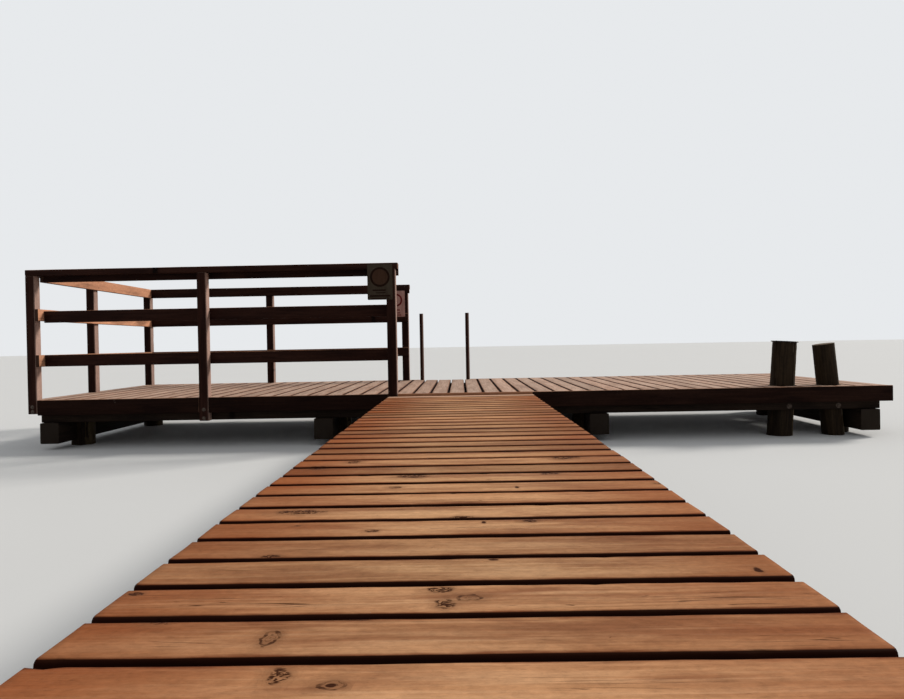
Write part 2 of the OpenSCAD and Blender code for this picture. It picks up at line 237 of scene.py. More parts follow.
def stick(length, width, depth, *, rings, across=3, arcs=3, round_top=0.004, round_low=0.004, relief=0.0002,
          wobble=0.0007, ends=0.0015, chips=2, lower=0.0, skew=0.0, cup=0.0, tilt=0.0):
    """A sawn timber along u from 0 to length, v from 0 to width and w from 0 to depth, worn only inwards."""
    chamfer = 0.0012 / length
    end_reach = 0.06
    taper = 0.0024
    sag = 0.0006
    ripples = 5
    s = np.linspace(0, 1, rings)
    s = np.concatenate([[0, chamfer], s[1:-1], [1 - chamfer, 1]])
    knots = max(3, int(length / 0.25))
    left, right = worn_edges(s, length, round_top, knots, chips, min(width, depth) * 0.42)
    v0 = np.abs(smooth_noise(knots, s, wobble)) + np.abs(smooth_noise(3, s, wobble))
    v1 = width - np.abs(smooth_noise(knots, s, wobble)) - np.abs(smooth_noise(3, s, wobble))
    top = depth - lower - np.abs(smooth_noise(max(2, knots // 2), s, sag))
    loop = outline(v0, v1, top, left, right, np.full_like(s, round_low), across, arcs)
    v, w = loop[:, :, 0], loop[:, :, 1]
    high = np.clip((w - depth * 0.6) / (depth * 0.3), 0, 1)
    mid = 2 * v / width - 1
    bow = cup * (mid * mid if cup > 0 else mid * mid - 1)
    w = w - high * bow - high * abs(tilt) * (1 + np.sign(tilt) * mid) / 2
    fine = np.zeros_like(w)
    for _ in range(ripples):
        ku, kv, phase = rng.uniform(3, 26), rng.uniform(20, 110), rng.uniform(0, 6.28)
        fine += np.sin(s[:, None] * length * ku + v * kv + phase)
    w = w - high * relief * (1 + fine / ripples)
    u = np.repeat((s * length)[:, None], v.shape[1], 1)
    e0, e1 = rng.uniform(0, ends), rng.uniform(0, ends)
    k0, k1 = jitter(skew), jitter(skew)
    near = np.clip(1 - u / end_reach, 0, 1)
    far = np.clip(1 - (length - u) / end_reach, 0, 1)
    u = u + near * (e0 + abs(k0) + k0 * mid) - far * (e1 + abs(k1) + k1 * mid)
    for row in (0, -1):
        v[row] = v[row].mean() + (v[row] - v[row].mean()) * (1 - taper / width)
        w[row] = w[row].mean() + (w[row] - w[row].mean()) * (1 - taper / depth)
    return loft(np.stack([u, v, w], axis=2))


def log_crack(s, t):
    """Depth of one drying crack up a log, for every ring and every angle."""
    where, width, deep = rng.uniform(0, 6.28), rng.uniform(0.03, 0.06), rng.uniform(0.006, 0.014)
    a, b = sorted(rng.uniform(-0.2, 1.2, 2))
    if b - a < 0.5:
        a, b = 0.2, 1.2
    drift = where + smooth_noise(4, s, 0.09)
    gone = np.clip((s - a) / 0.12, 0, 1) * np.clip((b - s) / 0.12, 0, 1)
    gap = (t - drift[:, None] + math.pi) % (2 * math.pi) - math.pi
    return np.exp(-(gap / width) ** 2) * gone[:, None] * deep


def log(length, low, high, rings, around, ridge, cracks=3):
    """An upright round log from w = 0, its surface inside the radius low at the foot and high at the top."""
    s = np.linspace(0, 1, rings)
    t = np.linspace(0, 2 * math.pi, around, endpoint=False)
    waves = 9
    rough = np.zeros((rings, around))
    for _ in range(waves):
        k, ks, phase = rng.integers(2, 15), rng.uniform(-5, 5), rng.uniform(0, 6.28)
        sway = 0.5 * np.sin(s[:, None] * rng.uniform(3, 14))
        rough += np.sin(k * t + ks * s[:, None] + phase + sway)
    fine = rng.uniform(-1, 1, (rings, around)) * 0.25
    r = (low * (1 - s) + high * s)[:, None] - ridge * (1.35 + rough / waves * 1.6 + fine)
    r = r - np.abs(smooth_noise(5, s, 0.003))[:, None]
    head_depth = np.zeros(around)
    for _ in range(cracks):
        groove = log_crack(s, t)
        r = r - groove
        head_depth = np.maximum(head_depth, groove[-1])
    height = np.repeat((s * length)[:, None], around, 1)
    body = np.stack([r * np.cos(t), r * np.sin(t), height], axis=2)
    out = [body]
    for share in (0.985, 0.9, 0.7, 0.48, 0.26):
        head = body[-1].copy()
        head[:, :2] *= share
        hollow = 0.0012 * (share < 0.95) * np.abs(np.sin(7 * share + t))
        head[:, 2] = length - hollow - 0.35 * head_depth * share
        out.append(head[None])
    return loft(np.concatenate(out))


def revolve(profile, around, turn=0.0):
    """A turned piece about w from (radius, height) points, from the middle below to the middle above."""
    t = np.linspace(0, 2 * math.pi, around, endpoint=False) + turn
    rings = [np.stack([r * np.cos(t), r * np.sin(t), np.full(around, h)], axis=1) for r, h in profile]
    return loft(np.array(rings))


def mesh_of(points, faces):
    mesh = bpy.data.meshes.new("shape")
    mesh.from_pydata(points, [], faces)
    mesh.update()
    return mesh


def new_object(name, data):
    ob = bpy.data.objects.new(name, data)
    bpy.context.scene.collection.objects.link(ob)
    return ob


def carve(points, faces, keep):
    """What of a detailed shape lies inside the CAD solids keep, as points and faces."""
    base, keep_points, keep_faces = 0, [], []
    for solid_points, triangles in keep:
        keep_points.append(solid_points)
        keep_faces += (triangles + base).tolist()
        base += len(solid_points)
    one = new_object("carved", mesh_of(points, faces))
    two = new_object("carver", mesh_of(np.concatenate(keep_points), keep_faces))
    cut = one.modifiers.new("cut", "BOOLEAN")
    cut.operation, cut.solver, cut.object = "INTERSECT", "EXACT", two
    mesh = bpy.data.meshes.new_from_object(one.evaluated_get(bpy.context.evaluated_depsgraph_get()))
    out = corners(mesh), [list(p.vertices) for p in mesh.polygons]
    for helper in (one, two):
        old = helper.data
        bpy.data.objects.remove(helper)
        bpy.data.meshes.remove(old)
    bpy.data.meshes.remove(mesh)
    return out


class Piece:
    """Collects shapes that become one object, with the grain coordinates that their wood needs."""

    def __init__(self, name, material, slot, *nodes):
        self.name, self.material, self.slot, self.nodes = name, material, slot, nodes
        self.points = []
        self.faces = []
        self.layers = {"grain": [], "tone": [], "along": []}
        self.count = 0

    def add(self, points, faces, origin, axes, pith=(0, 0), tone=None, keep=None):
        """Adds a shape given in its own u, v, w frame, or what of it lies in the CAD solids keep."""
        axes, origin = np.array(axes, float), np.array(origin, float)
        place = origin + points @ axes
        if keep:
            place, faces = carve(place, faces, keep)
            points = (place - origin) @ axes.T
        grain = points + (rng.uniform(0, 40), -pith[0], -pith[1])
        for name, values in (("grain", grain), ("tone", tone or random_tone()), ("along", axes[0])):
            self.layers[name].append(np.broadcast_to(values, points.shape))
        self.points.append(place)
        self.faces += [[i + self.count for i in f] for f in faces]
        self.count += len(points)

    def build(self, sharp=38):
        mesh = mesh_of(np.concatenate(self.points), self.faces)
        mesh.name = self.name
        for name, data in self.layers.items():
            layer = mesh.attributes.new(name, "FLOAT_VECTOR", "POINT")
            layer.data.foreach_set("vector", np.concatenate(data).astype(np.float32).ravel())
        mesh.polygons.foreach_set("use_smooth", [True] * len(mesh.polygons))
        mesh.set_sharp_from_angle(angle=math.radians(sharp))
        mesh.materials.append(self.material)
        ob = new_object(self.name, mesh)
        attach(ob, "root")
        if self.nodes:
            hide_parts(*self.nodes)


def random_tone():
    """Brightness and warmth of one timber, from -1 to 1, and a share that shifts its stains."""
    return rng.uniform(-1, 1), rng.uniform(-1, 1), rng.uniform(0, 1)


# Materials
def rgb(colour, share=1.0):
    return (*(value * share for value in colour), 1.0)


def maths(op):
    """A method that adds one kind of math node."""
    return lambda self, a, b=0.0, c=0.0, clamp=False: self.math(op, a, b, c, clamp)


class Nodes:
    """Short ways to add shader nodes to one material or world."""

    plus, less, times, scaled = maths("ADD"), maths("SUBTRACT"), maths("MULTIPLY"), maths("MULTIPLY_ADD")
    most, least = maths("MAXIMUM"), maths("MINIMUM")

    def __init__(self, owner):
        owner.use_nodes = True
        self.owner, self.tree = owner, owner.node_tree
        self.tree.nodes.clear()

    def add(self, kind, values=None, **settings):
        node = self.tree.nodes.new("ShaderNode" + kind)
        for key, value in settings.items():
            setattr(node, key, value)
        for key, value in (values or {}).items():
            if isinstance(value, bpy.types.NodeSocket):
                self.tree.links.new(value, node.inputs[key])
            else:
                node.inputs[key].default_value = value
        return node

    def math(self, op, a, b=0.0, c=0.0, clamp=False):
        return self.add("Math", {0: a, 1: b, 2: c}, operation=op, use_clamp=clamp).outputs[0]

    def apart(self, a, b):
        return self.math("ABSOLUTE", self.less(a, b))

    def vec(self, op, a, b=(0, 0, 0)):
        node = self.add("VectorMath", {0: a, 1: b}, operation=op)
        return node.outputs[1] if op in ("LENGTH", "DOT_PRODUCT") else node.outputs[0]

    def split(self, vector):
        return self.add("SeparateXYZ", {0: vector}).outputs

    def attribute(self, name):
        return self.add("Attribute", attribute_name=name).outputs["Vector"]

    def noise(self, vector, repeats, detail=3.0, rough=0.5, warp=0.0, output="Fac"):
        """Noise with its own number of repeats in a metre along each axis of vector."""
        values = {"Vector": self.vec("MULTIPLY", vector, repeats), "Scale": 1.0, "Detail": detail,
                  "Roughness": rough, "Distortion": warp}
        return self.add("TexNoise", values).outputs[output]

    def range(self, value, a, b, low=0.0, high=1.0):
        """Goes smoothly from low, where value is a, to high, where it is b."""
        values = {0: value, 1: a, 2: b, 3: low, 4: high}
        return self.add("MapRange", values, interpolation_type="SMOOTHSTEP").outputs[0]

    def mix(self, share, a, b, blend="MIX"):
        values = {0: share, 6: a, 7: b}
        return self.add("Mix", values, data_type="RGBA", blend_type=blend).outputs[2]

    def tinted(self, colour, tint):
        return self.mix(1.0, colour, rgb(tint), "MULTIPLY")

    def ramp(self, share, stops):
        node = self.add("ValToRGB", {0: share})
        points = node.color_ramp.elements
        for i, (at, value) in enumerate(stops):
            point = points[i] if i < 2 else points.new(at)
            point.position, point.color = at, (value, value, value, 1)
        return node.outputs["Color"]

    def finish(self, colour, rough, height, depth, specular, metallic=0.0):
        values = {"Base Color": colour, "Roughness": rough, "Metallic": metallic,
                  "Specular IOR Level": specular}
        if height is not None:
            bump = self.add("Bump", {"Strength": 1.0, "Distance": depth, "Height": height})
            values["Normal"] = bump.outputs[0]
        shader = self.add("BsdfPrincipled", values)
        self.add("OutputMaterial", {0: shader.outputs[0]})
        return self.owner


# Patterns of the wood, kept on its node builder n, from 0 to 1
def grain_patterns(n):
    """Grain coordinates p, the same bent a little, and the patterns that most of the colour comes from."""
    n.p, n.tone = n.attribute("grain"), n.attribute("tone")
    n.surface = n.add("NewGeometry").outputs
    n.place, n.facing = n.split(n.surface["Position"]), n.split(n.surface["Normal"])
    swirl = n.vec("SUBTRACT", n.noise(n.p, (1.3, 8, 8), 2.0, output="Color"), (0.5, 0.5, 0.5))
    n.bent = n.vec("ADD", n.p, n.vec("MULTIPLY", swirl, (0.0, 0.03, 0.03)))
    shifted = n.vec("ADD", n.p, n.vec("MULTIPLY", n.tone, (0, 9, 3)))
    n.patch = n.noise(shifted, (2.0, 11, 11), 6.0, 0.6, 0.5)
    n.broad = n.noise(n.p, (0.9, 2.5, 2.5), 2.0)
    n.fibre = n.noise(n.bent, (6, 330, 330), 4.0, 0.62)
    n.coarse = n.noise(n.bent, (2.6, 95, 95), 3.0, 0.55, 0.3)


def distance_to_marks(n, marks):
    """Distance to the nearest mark of each kind, scattered or placed by marks, in mark sizes."""
    knot_share = 0.05
    step = 0.002
    far_away = 9.0
    values = {"Vector": n.vec("MULTIPLY", n.p, (4.5, 7, 0)), "Scale": 1.0, "Randomness": 0.9}
    cell = n.add("TexVoronoi", values, voronoi_dimensions="2D")
    pick = n.add("SeparateColor", {0: cell.outputs["Color"]}).outputs
    scattered = n.math("DIVIDE", cell.outputs["Distance"], n.scaled(pick[1], 0.05, 0.035))
    none_here = n.range(pick[0], 1 - knot_share, 1 - knot_share + step, far_away, 0.0)
    scattered = n.plus(scattered, none_here)
    whole = n.range(pick[2], 0.5, 0.5 + step, far_away, -0.3)
    away = {"ring": scattered, "crack": n.plus(scattered, whole), "spot": n.times(scattered, 2.2)}
    for kind, places in marks.items():
        for x, y, half_x, half_y in places:
            offset = n.vec("SUBTRACT", n.surface["Position"], (x, y, 0))
            offset = n.vec("MULTIPLY", offset, (1 / half_x, 1 / half_y, 0))
            away[kind] = n.least(away[kind], n.vec("LENGTH", offset))
    ragged = n.times(n.less(n.noise(n.p, (50, 70, 70)), 0.5), 1.3)
    return {kind: n.plus(value, ragged) for kind, value in away.items()}


def knots(n, marks):
    """Knots, split knots and dark spots, and the halo round them."""
    away = distance_to_marks(n, marks)
    nearest = n.least(n.least(away["ring"], away["crack"]), n.times(away["spot"], 1.3))
    n.halo = n.range(nearest, 2.6, 0.7)
    broken = n.range(n.noise(n.p, (45, 60, 60), 2.0), 0.38, 0.58, 0.15, 0.85)
    rim = n.times(n.range(n.apart(away["ring"], 0.90), 0.22, 0.10), broken)
    inner = n.range(n.math("SINE", n.times(away["ring"], 19.0)), 0.5, 1.0)
    inner = n.times(inner, n.range(away["ring"], 0.95, 0.8))
    seam = n.range(n.apart(n.noise(n.p, (48, 85, 85), 2.5, 0.6, 1.3), 0.5), 0.11, 0.05)
    split = n.times(seam, n.range(away["crack"], 1.25, 0.75))
    blot = n.range(away["spot"], 1.1, 0.7)
    n.knot = n.most(n.most(rim, n.times(inner, 0.5)), n.most(split, blot))


def year_rings(n, ring):
    """Dark late wood, ring times in a metre, which bends round the knots."""
    radius = n.vec("LENGTH", n.vec("MULTIPLY", n.bent, (0, 1, 1)))
    turn = n.scaled(radius, ring, n.times(n.halo, 3.0))
    turn = n.plus(turn, n.times(n.noise(n.p, (3, 40, 40)), 1.2))
    n.late = n.ramp(n.math("FRACT", turn), [(0.0, 0.25), (0.55, 0.1), (0.86, 1.0), (1.0, 0.25)])


def drying_checks(n, amount):
    """Fine dark cracks along the grain, in some areas only."""
    line = n.range(n.apart(n.noise(n.bent, (1.1, 48, 48), 2.0, 0.45, 0.15), 0.5), 0.007, 0.0015)
    area = n.range(n.noise(n.p, (2.3, 15, 15), 2.0), 0.55, 0.66)
    n.check = n.times(line, n.times(area, amount, clamp=True))


def dark_spots(n, amount):
    """Small stains, in some areas only."""
    spot = n.range(n.noise(n.p, (30, 80, 80), 4.0, 0.7, 0.8), 0.64, 0.71)
    area = n.range(n.noise(n.p, (3.1, 8, 8)), 0.54, 0.66)
    n.spots = n.times(spot, n.times(area, amount, clamp=True))


# Colour of the wood, one function for each thing that is seen in it
def ground(n, dark, mid, light, worn):
    """Patches of the dark and the middle shade, and the light one where the wood is worn."""
    colour = n.mix(n.range(n.patch, 0.30, 0.62), rgb(dark), rgb(mid))
    fade = n.plus(n.times(n.patch, 0.5), n.times(n.coarse, 0.5))
    return n.mix(n.times(n.range(fade, 0.42, 0.64), worn), colour, rgb(light))


def redden_ends(n, colour, red):
    """Redder wood towards both ends of the walkway's boards."""
    across = n.less(n.place[X], WALK_X)
    ends = n.most(n.range(across, -0.10, -0.58, 0.0, 0.95), n.range(across, 0.15, 0.60, 0.0, 0.75))
    return n.mix(n.times(ends, n.range(n.broad, 0.25, 0.6, 0.45, 1.0)), colour, rgb(red))


def stain_and_shade_edges(n, colour, axis, start, pitch, tint, far_tint, reach):
    """Darker long edges of boards laid along axis, partly stain and partly painted shade of the gaps; reach
    is two places and the width at the second.
    """
    inside = n.times(n.math("FRACT", n.math("DIVIDE", n.less(n.place[axis], start), pitch)), pitch)
    edge = n.least(inside, n.less(BOARD_W, inside))
    edge = n.scaled(n.less(n.noise(n.p, (9, 40, 40), 4.0, 0.6), 0.5), 0.022, edge)
    colour = n.mix(n.range(edge, 0.050, 0.008, 0.0, 0.5), colour, n.tinted(colour, far_tint))
    near, far, widest = reach
    width = n.range(n.place[axis], near, far, 0.014, widest)
    return n.mix(n.range(edge, width, 0.002, 0.0, 0.9), colour, n.tinted(colour, tint))


def paint_sunlight(n, colour, pale):
    """Painted sunlight: paler wood on the faces towards +X and on top, where the sun falls."""
    sunny = n.range(n.most(n.facing[X], n.times(n.facing[Z], 0.97)), 0.55, 0.92)
    return n.mix(n.times(sunny, n.range(n.patch, 0.28, 0.55, 0.6, 1.0)), colour, rgb(pale))


def tread(n, colour, low, high, pale):
    """Pale trodden wood between the corners low and high, where None leaves a side open."""
    soft, bare = 0.006, 0.9
    for axis in (X, Y, Z):
        for side, at in ((1, low[axis]), (-1, high[axis])):
            if at is not None:
                bare = n.times(n.range(n.place[axis], at - side * soft, at + side * soft), bare)
    return n.mix(n.times(bare, n.range(n.patch, 0.25, 0.5, 0.6, 1.0)), colour, rgb(pale))


def shade_grain(n, colour, contrast, spread):
    """Lighter and darker grain, on timbers that differ in brightness and warmth."""
    pores = n.range(n.noise(n.bent, (55, 520, 520), 2.0, 0.6), 0.60, 0.72)
    grit = n.noise(n.p, (44, 75, 75), 6.0, 0.72, 0.3)
    grain = n.scaled(n.late, -0.24 * contrast, 1.08)
    for fine, share in ((n.fibre, 0.5 * contrast), (n.coarse, 0.24 * contrast), (grit, 0.9)):
        grain = n.scaled(n.less(fine, 0.5), share, grain)
    grain = n.scaled(pores, -0.22, grain)
    tone = n.split(n.tone)
    level = n.times(grain, n.scaled(tone[0], spread, n.scaled(n.broad, 0.3, 0.87)))
    shade = n.add("CombineColor", {0: level, 1: level, 2: level}).outputs[0]
    colour = n.mix(1.0, colour, shade, "MULTIPLY")
    warm = n.scaled(tone[1], 0.5, 0.5)
    return n.mix(n.times(warm, 0.3), colour, n.tinted(colour, (1.10, 0.90, 0.82)))


def draw_marks(n, colour, dark):
    """Knots, spots and fine cracks nearly black, with a dark halo round the knots."""
    deep = rgb([value * share for value, share in zip(dark, (0.13, 0.07, 0.05))])
    colour = n.mix(n.times(n.halo, 0.4), colour, rgb(dark, 0.6))
    for mark, share in ((n.knot, 0.95), (n.spots, 0.8), (n.check, 0.9)):
        colour = n.mix(n.times(mark, share, clamp=True), colour, deep)
    return colour


def cut_ends(n, colour, end):
    """End grain, on the faces that look along the grain; its dark colour on the boards is partly painted
    shade.
    """
    along = n.vec("DOT_PRODUCT", n.surface["Normal"], n.attribute("along"))
    turned = n.range(n.math("ABSOLUTE", along), 0.75, 0.93)
    sawn = n.mix(n.times(n.late, 0.5), rgb(end), rgb(end, 0.35))
    return n.mix(n.times(turned, 0.9), colour, sawn)


def relief(n):
    """Height of fibres, late wood, cracks and spots."""
    rise = n.scaled(n.fibre, 0.55, n.times(n.coarse, 0.6))
    rise = n.plus(rise, n.times(n.late, 0.16))
    rise = n.less(rise, n.times(n.most(n.check, n.times(n.knot, 0.3)), 1.3))
    return n.less(rise, n.times(n.spots, 0.3))


def wood(name, dark, mid, light, end, specular=0.04, checks=1.0, stain=0.6, worn=0.35, ring=210.0,
         depth=0.0007, spread=0.16, contrast=1.0, painted_gap_shade=None, painted_sunlight=None, red=None, marks=None, edge_stain_and_shade=None,
         trodden=None):
    """Timber in three shades; the painted gap shade darkens faces that turn down into the gaps, given as
    where it begins and is full, and its colour.
    """
    n = Nodes(bpy.data.materials.new(name))
    grain_patterns(n)
    knots(n, marks or {})
    year_rings(n, ring)
    drying_checks(n, checks)
    dark_spots(n, stain)
    colour = ground(n, dark, mid, light, worn)
    if red:
        colour = redden_ends(n, colour, red)
    # Darker board edges: partly stain, partly painted shade of the gaps
    if edge_stain_and_shade:
        colour = stain_and_shade_edges(n, colour, **edge_stain_and_shade)
    # Painted sunlight on the faces towards +X and on top
    if painted_sunlight:
        colour = paint_sunlight(n, colour, painted_sunlight)
    if trodden:
        colour = tread(n, colour, **trodden)
    colour = cut_ends(n, draw_marks(n, shade_grain(n, colour, contrast, spread), dark), end)
    # Painted shade on the boards' sides and rounded edges that turn down into the gaps
    if painted_gap_shade:
        begins, full, shade = painted_gap_shade
        colour = n.mix(n.range(n.facing[Z], begins, full, 0.0, 0.96), colour, rgb(shade))
    rough = n.scaled(n.less(n.fibre, 0.5), 0.3, n.range(n.patch, 0.3, 0.7, 0.6, 0.85))
    return n.finish(colour, rough, relief(n), depth, specular)


def metal(name, colour, spots, metallic, scale=90.0):
    """Dull sheet or fastener metal, with stains that break up its gloss."""
    n = Nodes(bpy.data.materials.new(name))
    p = n.attribute("grain")
    fog = n.noise(p, [scale] * 3, 4.0, 0.6)
    fine = n.noise(p, [scale * 9] * 3, 3.0, 0.6)
    out = n.mix(n.range(fog, 0.42, 0.66), rgb(colour), rgb(spots))
    out = n.mix(n.times(fine, 0.25), out, rgb(spots, 0.5))
    rough = n.range(fog, 0.3, 0.7, 0.55, 0.8)
    return n.finish(out, rough, n.scaled(fine, 0.4, fog), 0.0003, 0.5, metallic)


def paint(name, colour, dirty, chips, scale=14.0, specular=0.12):
    """Old matt paint on a plate, with run-down dirt, faded patches and small rust chips."""
    n = Nodes(bpy.data.materials.new(name))
    p = n.attribute("grain")
    cloud = n.noise(p, (scale, scale, scale * 0.4), 5.0, 0.6, 0.4)
    run = n.noise(p, (scale * 7, scale * 7, scale * 0.6), 3.0, 0.6)
    speck = n.noise(p, [scale * 28] * 3, 3.0, 0.6)
    out = n.mix(n.range(cloud, 0.4, 0.68), rgb(colour), rgb(dirty))
    out = n.mix(n.times(n.range(run, 0.5, 0.72), 0.35), out, rgb(dirty, 0.7))
    out = n.mix(n.times(n.range(speck, 0.69, 0.74), n.range(cloud, 0.45, 0.6)), out, rgb(chips))
    rough = n.range(cloud, 0.3, 0.7, 0.5, 0.75)
    return n.finish(out, rough, n.scaled(speck, 0.3, cloud), 0.0003, specular)


# Wood of the walkway, worn red-brown, with a paler last board, and painted shade in its gaps and along its
# board edges
walk_wood = wood(
    "walkway_wood", (0.25, 0.108, 0.05), (0.462, 0.243, 0.118), (0.597, 0.36, 0.2),
    end=(0.06, 0.026, 0.014), painted_gap_shade=(0.985, 0.87, (0.013, 0.0032, 0.0018)), red=(0.255, 0.078, 0.026),
    specular=0.02, checks=0.9, stain=1.0, worn=0.5, contrast=0.38, spread=0.2, marks=WALK_MARKS,
    edge_stain_and_shade=dict(axis=Y, start=WALK_START, pitch=WALK_PITCH, reach=(-1.1, 0.5, 0.035),
               tint=(0.34, 0.18, 0.13), far_tint=(0.84, 0.74, 0.68)),
    trodden=dict(low=(None, LAST_BOARD - 0.02, None), high=(None, None, None), pale=(0.6, 0.385, 0.265)))

# Wood of the platform's boards, paler, with painted shade in its gaps and along its board edges
deck_wood = wood(
    "platform_wood", (0.32, 0.196, 0.135), (0.445, 0.298, 0.222), (0.545, 0.392, 0.305),
    end=(0.07, 0.04, 0.028), painted_gap_shade=(0.96, 0.74, (0.026, 0.0085, 0.0045)),
    specular=0.08, checks=0.8, stain=0.7, worn=0.7, contrast=0.8, spread=0.1,
    edge_stain_and_shade=dict(axis=X, start=DECK_LEFT, pitch=DECK_PITCH, reach=(-4.0, 4.0, 0.014),
               tint=(0.6, 0.4, 0.28), far_tint=(0.92, 0.86, 0.81)))

# Dark stained wood of the railing, darkened further as painted shade, with painted sunlight on the faces
# towards +X and on top: boards and beams, and posts with a weaker painted sunlight
DARK_STAIN_AND_SHADE = dict(dark=(0.009, 0.0029, 0.002), mid=(0.019, 0.0068, 0.0047), light=(0.038, 0.018, 0.0125),
                  end=(0.05, 0.026, 0.018), stain=0.4)
rail_wood = wood("railing_wood", **DARK_STAIN_AND_SHADE, painted_sunlight=(0.53, 0.265, 0.155))
post_wood = wood("railing_post_wood", **DARK_STAIN_AND_SHADE, painted_sunlight=(0.345, 0.232, 0.19))

# Wood of the platform's edge boards, darkened as painted shade, with painted sunlight on the faces towards
# +X and on top, trodden pale above the walkway's end
edge_wood = wood(
    "edge_board_wood", (0.006, 0.0022, 0.0015), (0.012, 0.0048, 0.0033), (0.026, 0.0125, 0.0085),
    end=(0.04, 0.021, 0.014), specular=0.03, stain=0.4, painted_sunlight=(0.43, 0.24, 0.155),
    trodden=dict(low=(WALK_X - 0.6, None, DECK_TOP - 0.03), pale=(0.32, 0.15, 0.08),
                 high=(WALK_X + 0.6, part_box("edge_boards")[0].y + 0.06, None)))

# Weathered wood of the stringers and cross-beams, and of the round logs, darkened further as painted shade;
# the logs have painted sunlight on the faces towards +X and on top
beam_wood = wood(
    "beam_wood", (0.0085, 0.0052, 0.0038), (0.018, 0.0114, 0.0081), (0.038, 0.026, 0.019),
    end=(0.022, 0.016, 0.012))
log_wood = wood(
    "log_wood", (0.007, 0.0043, 0.0025), (0.016, 0.01, 0.0058), (0.046, 0.031, 0.018),
    end=(0.16, 0.11, 0.07), painted_sunlight=(0.095, 0.071, 0.04), specular=0.05, worn=0.45, ring=330, depth=0.0012)

# Metal of the fasteners and the cap
steel = metal("fastener_steel", (0.075, 0.055, 0.042), (0.04, 0.02, 0.012), 0.5)
cap_metal = metal("cap_sheet", (0.032, 0.03, 0.028), (0.018, 0.014, 0.012), 0.2, 40.0)

# Paint of the two sign plates; the near plate's paint, disc and print are darkened as painted shade
near_shaded_paint = paint("near_plate_shaded_paint", (0.045, 0.034, 0.023), (0.03, 0.021, 0.013), (0.012, 0.005, 0.003),
                   specular=0.05)
near_shaded_disc = paint("near_plate_shaded_disc", (0.044, 0.021, 0.0118), (0.031, 0.015, 0.008), (0.02, 0.008, 0.004),
                  specular=0.05)
near_shaded_print = paint("near_plate_shaded_print", (0.013, 0.0042, 0.0018), (0.009, 0.004, 0.002), (0.03, 0.018, 0.012),
                   40.0, 0.04)
far_paint = paint("far_plate_paint", (0.34, 0.19, 0.16), (0.24, 0.12, 0.1), (0.1, 0.03, 0.02))
far_print = paint("far_plate_print", (0.115, 0.008, 0.008), (0.085, 0.012, 0.01), (0.2, 0.12, 0.1),
                  40.0, 0.05)


# Fasteners
fasteners = {}


def fastener_piece(name, slot):
    if name not in fasteners:
        fasteners[name] = Piece(name, steel, slot)
    return fasteners[name]


def axes_to(direction):
    """A frame whose w axis points along direction."""
    w = np.array(direction, float)
    w /= np.linalg.norm(w)
    u = np.cross((0, 1, 0) if abs(w[1]) < 0.9 else (1, 0, 0), w)
    u /= np.linalg.norm(u)
    return [u, np.cross(w, u), w]


def screw(piece, place, direction=(0, 0, 1), radius=0.0045):
    """A countersunk screw head with a star socket in it, its rim level with place."""
    around, turn = 10, rng.uniform(0, 1)
    star = np.where(np.arange(around) % 2 == 0, 0.42, 0.26) * radius
    profile = [(0.0002, -0.0030), (0.55 * radius, -0.0030), (radius, -0.0008), (0.93 * radius, -0.0001),
               (star, 0.00005), (star, -0.0017)]
    piece.add(*revolve(profile, around, turn), place, axes_to(direction))


def bolt(piece, place, direction, radius):
    """A domed bolt head on a round washer."""
    shares = [(1.55, 0.0), (1.6, 0.0008), (1.52, 0.0022), (1, 0.0024), (0.97, 0.0036), (0.82, 0.0060),
              (0.5, 0.0078), (0.15, 0.0084)]
    profile = [(0.0005, 0.0)] + [(radius * share, height) for share, height in shares] + [(0.0005, 0.0085)]
    piece.add(*revolve(profile, 20), place, axes_to(direction))


# Deck boards
def deck_board(piece, origin, axes, size, keep=None, rings=80, edge=(0.0066, 0.0088)):
    """One deck board of size (length, width, depth), with worn edges, a slight cup and its own height."""
    cup = rng.uniform(-0.0012, 0.0014)
    points, faces = stick(*size, rings=rings, across=7, arcs=4, round_top=rng.uniform(*edge),
                          round_low=0.0025, lower=rng.uniform(0, 0.001), relief=0.00022, wobble=0.0006,
                          ends=0.004, skew=0.0015, chips=rng.integers(0, 3), cup=cup, tilt=jitter(0.0007))
    pith = (rng.uniform(0.2, 0.8) * size[1], -rng.uniform(0.01, 0.09))
    piece.add(points, faces, origin, axes, pith, random_tone(), keep)


def walkway_boards():
    """All boards of the walkway, with a pair of screws over each stringer."""
    stringer_xs = [middle(part)[X] for part in solids("walk_stringers_1")]
    screws = fastener_piece("walkway_screws", "walkway_boards")
    for bay in range(1, BAYS + 1):
        node = f"walk_deck_{bay}"
        piece = Piece(node + "_boards", walk_wood, "walkway_boards", node)
        for part in solids(node):
            lo, hi = span(part)
            deck_board(piece, lo, ALONG[X], hi - lo)
            for x in stringer_xs:
                for off in SCREW_PAIR:
                    place = (x + jitter(0.012), middle(part)[Y] + off + jitter(0.005), hi[Z] - SCREW_SET)
                    screw(screws, place)
        piece.build()


